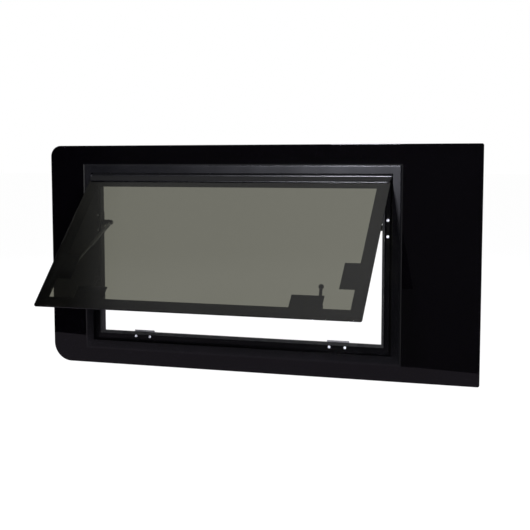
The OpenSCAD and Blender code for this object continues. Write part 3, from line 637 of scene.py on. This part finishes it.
# %% Turning, joining and cutting
def turned_mesh(name, outline, around):
    """A mesh turned about the Z axis from points (radius, height) that start and end on it."""
    points = [Vector((0, 0, outline[0][1])), Vector((0, 0, outline[-1][1]))]
    rows = outline[1:-1]
    for radius, height in rows:
        for k in range(around):
            turn = 2 * math.pi * k / around
            points.append(Vector((radius * math.cos(turn), radius * math.sin(turn), height)))
    first, last = 2, 2 + (len(rows) - 1) * around
    faces = []
    for k in range(around):
        n = (k + 1) % around
        faces.append((0, first + n, first + k))
        faces.append((1, last + k, last + n))
        for a in range(first, last, around):
            faces.append((a + k, a + n, a + around + n, a + around + k))
    mesh = bpy.data.meshes.new(name)
    mesh.from_pydata(points, [], faces)
    return mesh


def combined(first, second, operation):
    """One mesh from two that overlap: their UNION, or the DIFFERENCE that the second cuts."""
    other = bpy.data.objects.new("other", second)
    bpy.context.scene.collection.objects.link(other)
    mesh = modified(first, "BOOLEAN", operation=operation, object=other)
    bpy.data.objects.remove(other)
    return mesh


print("ready: turning, joining, cutting")

# %% [markdown]
# ## One screw
# The screws are small, but they are the brightest things on the window. Each is a pan head with a
# cross recess: a low dome on a short straight side. The recess is two wedges, crosswise, that get
# narrower as they go in.

# %% A pan-head screw
SCREW_STEPS = 40
SHANK_RADIUS = 2.0 * MM
STRAIGHT_SIDE, SEAT_EDGE = 0.35, 0.1       # heights, as shares of the head's
CROSS_DEPTH, CROSS_ABOVE = 0.75, 0.2
SEAT_RADIUS = 0.97                         # widths, as shares of the head's radius
CROSS_ARM, CROSS_HALF_WIDTH = 0.55, 0.13
ARM_TAPER, WIDTH_TAPER = 0.45, 0.7         # a wedge's foot, against its top
TIP_START, TIP_RADIUS = 0.9, 0.6           # the shank's tip, as shares of its length and radius


def screw_mesh(head_radius, head_height, length):
    """A pan-head screw with its head's seat at Z = 0 and its shank up along Z."""
    outline = []
    for degrees in range(0, 91, 9):
        slope = math.radians(degrees)
        crown = STRAIGHT_SIDE + (1 - STRAIGHT_SIDE) * math.cos(slope)
        outline.append((head_radius * math.sin(slope), -head_height * crown))
    outline += [(head_radius, -SEAT_EDGE * head_height), (head_radius * SEAT_RADIUS, 0),
                (SHANK_RADIUS, 0), (SHANK_RADIUS, length * TIP_START),
                (SHANK_RADIUS * TIP_RADIUS, length), (0, length)]
    screw = turned_mesh("screw", outline, SCREW_STEPS)
    arm, half_width = head_radius * CROSS_ARM, head_radius * CROSS_HALF_WIDTH
    slot = [(-arm, -half_width), (arm, -half_width), (arm, half_width), (-arm, half_width)]
    top = [Vector((x, y, -head_height * (1 + CROSS_ABOVE))) for x, y in slot]
    bottom = -head_height * (1 - CROSS_DEPTH)
    foot = [Vector((x * ARM_TAPER, y * WIDTH_TAPER, bottom)) for x, y in slot]
    for turn in (0, math.pi / 2):
        spin = Matrix.Rotation(turn, 3, "Z")
        wedge = sweep("cross", [[spin @ point for point in row] for row in (top, foot)])
        screw = combined(screw, wedge, "DIFFERENCE")
    return screw


print("screw ready")

# %% [markdown]
# ## Screws in their places
# Each screw's place and size are read from the CAD solids. A node can hold several solids, so its
# points are sorted into groups that hang together, and each group's box is one screw. No two
# crosses stand at the same angle, because nobody lines them up.

# %% Screws
PAN_HEIGHT, LOW_HEIGHT = 2.4 * MM, 1.4 * MM
FIRST_TURN, NEXT_TURN = 0.35, 1.9      # of the crosses, in radians


def solids_of(node):
    """The boxes of the separate solids in a CAD node, from left to right."""
    work = welded(node)
    left_over = set(work.verts)
    boxes = []
    while left_over:
        group, waiting = [], [left_over.pop()]
        while waiting:
            corner = waiting.pop()
            group.append(corner.co.copy())
            near = {edge.other_vert(corner) for edge in corner.link_edges} & left_over
            waiting += near
            left_over -= near
        low = Vector([min(spot[axis] for spot in group) for axis in range(3)])
        high = Vector([max(spot[axis] for spot in group) for axis in range(3)])
        boxes.append((low, high))
    work.free()
    return sorted(boxes, key=lambda box: tuple(box[0]))


def make_screws(node, upright):
    """Screws in place of a CAD node's plain ones, with heads down if upright, or else to -Y."""
    work = bmesh.new()
    head_height = LOW_HEIGHT if upright else PAN_HEIGHT
    for count, (low, high) in enumerate(solids_of(node)):
        size, centre = high - low, (low + high) / 2
        length = (size.z if upright else size.y) - head_height
        if upright:
            lay = Matrix.Translation((centre.x, centre.y, low.z + head_height))
        else:
            lay = Matrix.Translation((centre.x, low.y + head_height, centre.z))
            lay @= Matrix.Rotation(-math.pi / 2, 4, "X")
        screw = screw_mesh(size.x / 2, head_height, length)
        screw.transform(lay @ Matrix.Rotation(FIRST_TURN + NEXT_TURN * count, 4, "Z"))
        work.from_mesh(screw)
    stand_in(node, as_mesh(work, node))
    print(node + ":", count + 1)


make_screws("strike_screws", upright=False)
make_screws("stay_bracket_screws", upright=False)
make_screws("hinge_strip_screws", upright=True)

# %% [markdown]
# ## The eyes of the stays
# A stay ends in two moulded eyes. Moulded nylon has no sharp corners, or it would crack there, so
# each eye is a barrel with soft cheeks that runs out into a round neck. The upper eye is bored for
# its pin and plugs into the tube. The lower one takes the end of the rod. A barrel and a neck are
# drawn apart and then joined into one solid.

# %% Barrels and necks
EYE_STEPS = 48
EYE_RADIUS, EYE_HALF_WIDTH, EYE_BORE = 7.0, 4.0, 3.06   # in millimetres
CHEEK, BORE_EDGE = 1.8, 0.3
# Outlines of the necks as (radius, distance from the pivot)
PLUG_NECK = [(0, 4.6), (3.7, 4.6), (3.7, 7.6), (4.9, 8.6), (5.1, 9.0), (5.1, 9.9), (4.0, 10),
             (4.0, 18), (0, 18)]
ROD_NECK = [(0, 2.0), (3.7, 2.0), (3.7, 14.4), (3.3, 15), (3.02, 15), (3.02, 11), (0, 11)]


def ring_eye():
    """A bored barrel about the X axis."""
    outline = rounded([(-EYE_HALF_WIDTH, EYE_BORE, BORE_EDGE), (-EYE_HALF_WIDTH, EYE_RADIUS, CHEEK),
                       (EYE_HALF_WIDTH, EYE_RADIUS, CHEEK), (EYE_HALF_WIDTH, EYE_BORE, BORE_EDGE)])
    rings = []
    for k in range(EYE_STEPS):
        turn = 2 * math.pi * k / EYE_STEPS
        rings.append([Vector((x, r * math.cos(turn), r * math.sin(turn))) for x, r in outline])
    return sweep("barrel", rings, closed=True)


def blind_eye():
    """A solid barrel about the X axis."""
    edge = arc(Vector((EYE_RADIUS - CHEEK, EYE_HALF_WIDTH - CHEEK)), CHEEK, 0, 90, 5)
    one_side, other_side = [(r, -x) for r, x in reversed(edge)], [(r, x) for r, x in edge]
    outline = [(0, -EYE_HALF_WIDTH)] + one_side + other_side + [(0, EYE_HALF_WIDTH)]
    mesh = turned_mesh("barrel", outline, EYE_STEPS)
    mesh.transform(Matrix.Rotation(math.pi / 2, 4, "Y"))
    return mesh


print("barrels ready")

# %% [markdown]
# ## Eyes in their places
# The upper eye turns on the stay's pivot, which the swing joint gives, and its neck points down the
# stay, which the slide joint gives. The lower eye sits at the far end of the plunger, and its neck
# points back up the stay.

# %% Eyes
def make_eye(node, place, barrel, neck, way):
    """An eye at that place, in metres, whose neck runs out that way."""
    stem = turned_mesh("neck", neck, EYE_STEPS)
    stem.transform(way.to_track_quat("Z", "Y").to_matrix().to_4x4())
    mesh = combined(barrel, stem, "UNION")
    mesh.transform(Matrix.Translation(place) @ Matrix.Scale(MM, 4))
    stand_in(node, mesh)


for side in ("left", "right"):
    pivot = Vector(joints[side + "_stay_swing"]["pos_m"])
    down_stay = Vector(joints[side + "_stay_slide"]["axis"])
    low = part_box(side + "_sash_eye")[0]
    far_eye = Vector((pivot.x, low.y + EYE_RADIUS * MM, low.z + EYE_RADIUS * MM))
    make_eye(side + "_frame_eye", pivot, ring_eye(), PLUG_NECK, down_stay)
    make_eye(side + "_sash_eye", far_eye, blind_eye(), ROD_NECK, -down_stay)
print("eyes: 4")

# %% [markdown]
# ## White to the camera, dark to the gloss
# The window stands in plain white. A black glossy thing would mirror all of it and look grey, so
# gloss is shown something else. A Light Path node tells what kind of ray has arrived. The camera,
# and what passes the tinted pane, see the white, and it is dimmed once a bounce off gloss is in the
# ray's path.

# %% Sort the rays
DIMMED_BY_GLOSS = 0.45


def number(tree, operation, a, b):
    """What a Math node makes of two values, each one a plain number or a node's output."""
    node = tree.nodes.new("ShaderNodeMath")
    node.operation = operation
    for socket, value in zip(node.inputs, (a, b)):
        if isinstance(value, (int, float)):
            socket.default_value = value
        else:
            tree.links.new(value, socket)
    return node.outputs["Value"]


def seen_plainly(tree):
    """1 for what is seen straight on or through glass, and less after a bounce off gloss."""
    path = tree.nodes.new("ShaderNodeLightPath")
    straight, through = path.outputs["Is Camera Ray"], path.outputs["Is Transmission Ray"]
    plain = number(tree, "MAXIMUM", straight, through)
    bounced = number(tree, "MINIMUM", path.outputs["Glossy Depth"], 1)
    kept = number(tree, "SUBTRACT", 1, number(tree, "MULTIPLY", bounced, DIMMED_BY_GLOSS))
    return number(tree, "MULTIPLY", plain, kept)


def glow(tree, colour, strength):
    """Light of that colour from the surface itself."""
    emission = tree.nodes.new("ShaderNodeEmission")
    emission.inputs["Color"].default_value = (*colour, 1)
    emission.inputs["Strength"].default_value = strength
    return emission.outputs["Emission"]


print("white after a bounce off gloss:", 1 - DIMMED_BY_GLOSS)

# %% [markdown]
# ## The floor
# The window stands on a pale floor that runs far back, so that its far edge is lost in the white.
# The lamps put a real shadow on it, and to the camera it is mixed most of the way to white. Gloss
# doesn't see it at all.

# %% Floor
FLOOR_HALF = 60
FLOOR_GAP = 0.4 * MM
WHITE_SHARE, WHITE_GLOW = 0.88, 1.08
floor_level = cad_low.z - FLOOR_GAP


def flat_sheet(name, corners, level, finish):
    """A flat sheet of the stage, lying at that level."""
    mesh = bpy.data.meshes.new(name)
    mesh.from_pydata([(x, y, level) for x, y in corners], [], [(0, 1, 2, 3)])
    mesh.materials.append(finish)
    sheet = bpy.data.objects.new(name, mesh)
    bpy.context.scene.collection.objects.link(sheet)
    return sheet


pale_floor = start_finish("pale floor", Base_Color=(0.8, 0.8, 0.8, 1), Roughness=0.9)
tree = pale_floor.node_tree
mix = tree.nodes.new("ShaderNodeMixShader")
whiter = number(tree, "MULTIPLY", seen_plainly(tree), WHITE_SHARE)
surface = shader_of(pale_floor).outputs["BSDF"]
for socket, output in zip(mix.inputs, (whiter, surface, glow(tree, (1, 1, 1), WHITE_GLOW))):
    tree.links.new(output, socket)
tree.links.new(mix.outputs["Shader"], tree.nodes["Material Output"].inputs["Surface"])

corners = [(x * FLOOR_HALF, y * FLOOR_HALF) for x, y in ((-1, -1), (1, -1), (1, 1), (-1, 1))]
floor = flat_sheet("floor", corners, floor_level, pale_floor)
floor.visible_glossy = False
print("floor at", round(floor_level, 4))

# %% [markdown]
# ## A sheet for the gloss
# A second sheet lies on the floor, which only gloss sees. It ends just in front of the window, and
# its reflection is the grey strip along the foot of the black glass. Its front edge comes nearer to
# the window from left to right, and the strip narrows with it.

# %% Sheet
SHEET_LEFT, SHEET_RIGHT, SHEET_BACK = -3, 1.4, 3
EDGE_AT_LEFT, EDGE_AT_RIGHT = -0.423, -0.186   # in front of the panel's two ends
SHEET_GAP = 0.2 * MM
PAPER, PAPER_GLOW = (1.0, 0.9, 1.06), 0.21


def sheet_edge(x):
    """Where the sheet's front edge runs, on one straight line."""
    share = (x - cad_low.x) / (cad_high.x - cad_low.x)
    return EDGE_AT_LEFT + share * (EDGE_AT_RIGHT - EDGE_AT_LEFT)


grey_paper = start_finish("grey paper")
tree = grey_paper.node_tree
tree.links.new(glow(tree, PAPER, PAPER_GLOW), tree.nodes["Material Output"].inputs["Surface"])
corners = [(SHEET_LEFT, sheet_edge(SHEET_LEFT)), (SHEET_RIGHT, sheet_edge(SHEET_RIGHT)),
           (SHEET_RIGHT, SHEET_BACK), (SHEET_LEFT, SHEET_BACK)]
sheet = flat_sheet("sheet", corners, floor_level + SHEET_GAP, grey_paper)
sheet.visible_camera = False
sheet.visible_diffuse = False
sheet.visible_transmission = False
sheet.visible_shadow = False
print("sheet's front edge:", [round(sheet_edge(x), 3) for x in (cad_low.x, cad_high.x)])

# %% [markdown]
# ## Ramps for a studio
# A world can be drawn without any picture. The direction of a ray has three parts, X, Y and Z, each
# from -1 to 1, and a ramp turns one of them into greys. That is one soft wall or one edge of a
# ceiling. Ramps are then multiplied, which narrows a surface down, or laid over each other so that
# the lightest wins.

# %% Ramps and blends
def ramp_of(tree, value, stops):
    """Greys over a value from -1 to 1, with stops (value, grey)."""
    span = tree.nodes.new("ShaderNodeMapRange")
    span.inputs["From Min"].default_value = -1
    tree.links.new(value, span.inputs["Value"])
    ramp = tree.nodes.new("ShaderNodeValToRGB")
    ramp.color_ramp.interpolation = "EASE"
    while len(ramp.color_ramp.elements) < len(stops):
        ramp.color_ramp.elements.new(0.5)
    for element, (at, grey) in zip(ramp.color_ramp.elements, stops):
        element.position = (at + 1) / 2
        element.color = (grey, grey, grey, 1)
    tree.links.new(span.outputs["Result"], ramp.inputs["Fac"])
    return ramp.outputs["Color"]


def mixed(tree, way, first, second):
    """Two colours mixed in full by that blend."""
    mix = tree.nodes.new("ShaderNodeMix")
    mix.data_type = "RGBA"
    mix.blend_type = way
    mix.inputs["Factor"].default_value = 1.0
    tree.links.new(first, mix.inputs["A"])
    tree.links.new(second, mix.inputs["B"])
    return mix.outputs["Result"]


print("ramps ready")

# %% [markdown]
# ## What the gloss sees
# For light that bounces off the parts, the world is a dark studio with a few soft surfaces. A
# ceiling lies over the tilted pane, in front of the window only. It fades towards the left, and a
# dimmer band runs across it. A pale wall at the left draws the upright edges, a dimmer one stands
# at the right, and the back is pale. The camera, and what passes the tinted pane, see plain white
# instead.

# %% World
# Stops as (direction, grey)
CEILING_ACROSS = [(-0.485, 0.04), (-0.472, 0.09), (-0.46, 0.2), (-0.448, 0.31), (-0.435, 0.4),
                  (-0.38, 0.46), (-0.2, 0.63), (0.2, 0.7)]
CEILING_HEIGHT = [(-1, 0.05), (0.1, 0.055), (0.45, 0.12), (0.72, 0.7), (0.9, 1)]
CEILING_FRONT = [(-0.62, 1), (-0.5, 0.35), (-0.27, 0.35), (-0.18, 1), (0.04, 1), (0.12, 0.1)]
SIDE_WALLS = [(-1, 1.6), (-0.985, 1.2), (-0.965, 0), (0.6, 0), (0.9, 0.4)]
BACK_WALL = [(-0.2, 0.0), (0.5, 0.55)]
WHITE = (1, 1, 1, 1)

world = bpy.data.worlds.new("studio")
bpy.context.scene.world = world
world.use_nodes = True
tree = world.node_tree
direction = tree.nodes.new("ShaderNodeTexCoord")
axes = tree.nodes.new("ShaderNodeSeparateXYZ")
tree.links.new(direction.outputs["Generated"], axes.inputs["Vector"])
along_x, along_y, along_z = axes.outputs
ceiling = ramp_of(tree, along_x, CEILING_ACROSS)
for axis, stops in ((along_z, CEILING_HEIGHT), (along_y, CEILING_FRONT)):
    ceiling = mixed(tree, "MULTIPLY", ceiling, ramp_of(tree, axis, stops))
sides, back = ramp_of(tree, along_x, SIDE_WALLS), ramp_of(tree, along_y, BACK_WALL)
room = mixed(tree, "LIGHTEN", ceiling, mixed(tree, "LIGHTEN", sides, back))
seen = tree.nodes.new("ShaderNodeMix")
seen.data_type = "RGBA"
seen.inputs["B"].default_value = WHITE
tree.links.new(seen_plainly(tree), seen.inputs["Factor"])
tree.links.new(room, seen.inputs["A"])
tree.links.new(seen.outputs["Result"], tree.nodes["Background"].inputs["Color"])
print("world ready")

# %% [markdown]
# ## Lamps
# One strong soft box does nearly all the work. It hangs above the camera, to its left, where it
# draws the bright line along the rolled top of the hinge, and where the open sash shades the frame
# beneath it. Two dim lamps lift the back and the floor. Those two aren't mirrored in the gloss.

# %% Lamps
LAMP_COLOUR = (0.87, 0.88, 1.0)
middle = (cad_low + cad_high) / 2


def soft_lamp(name, place, size, power, mirrored):
    """A soft box in metres and watts that points at the middle of the window."""
    lamp = bpy.data.lights.new(name, "AREA")
    lamp.shape = "RECTANGLE"
    lamp.size, lamp.size_y = size
    lamp.energy = power
    lamp.color = LAMP_COLOUR
    thing = bpy.data.objects.new(name, lamp)
    thing.location = place
    thing.rotation_euler = (middle - Vector(place)).to_track_quat("-Z", "Y").to_euler()
    thing.visible_glossy = mirrored
    bpy.context.scene.collection.objects.link(thing)


soft_lamp("key lamp", place=(-0.34, -2.85, 1.42), size=(0.4, 0.4), power=128, mirrored=True)
soft_lamp("fill lamp", place=(1.7, -2.4, 0.75), size=(1.0, 1.0), power=150, mirrored=False)
soft_lamp("back lamp", place=(-1.2, 2.4, 2.2), size=(1.8, 1.2), power=60, mirrored=False)
print("lamps:", len(bpy.data.lights))

# %% [markdown]
# ## Camera
# The camera stands about three metres off, a little right of centre and just above the middle of
# the window. Its lens is fairly long, which keeps the long panel's perspective gentle.

# %% Camera
LENS, SENSOR = 70.1, 36.0              # in millimetres
TURN, RISE = math.radians(18.2), math.radians(5.58)
DISTANCE = 2.92
LOOK_AT = Vector((0.0365, -0.005, 0.2965))

camera_data = bpy.data.cameras.new("camera")
camera_data.lens = LENS
camera_data.sensor_width = SENSOR
camera = bpy.data.objects.new("camera", camera_data)
bpy.context.scene.collection.objects.link(camera)
level = math.cos(RISE)
to_camera = Vector((math.sin(TURN) * level, -math.cos(TURN) * level, math.sin(RISE)))
camera.location = LOOK_AT + DISTANCE * to_camera
camera.rotation_euler = (-to_camera).to_track_quat("-Z", "Y").to_euler()
bpy.context.scene.camera = camera
bpy.context.scene.view_settings.view_transform = "Standard"
print("camera at", [round(value, 2) for value in camera.location])
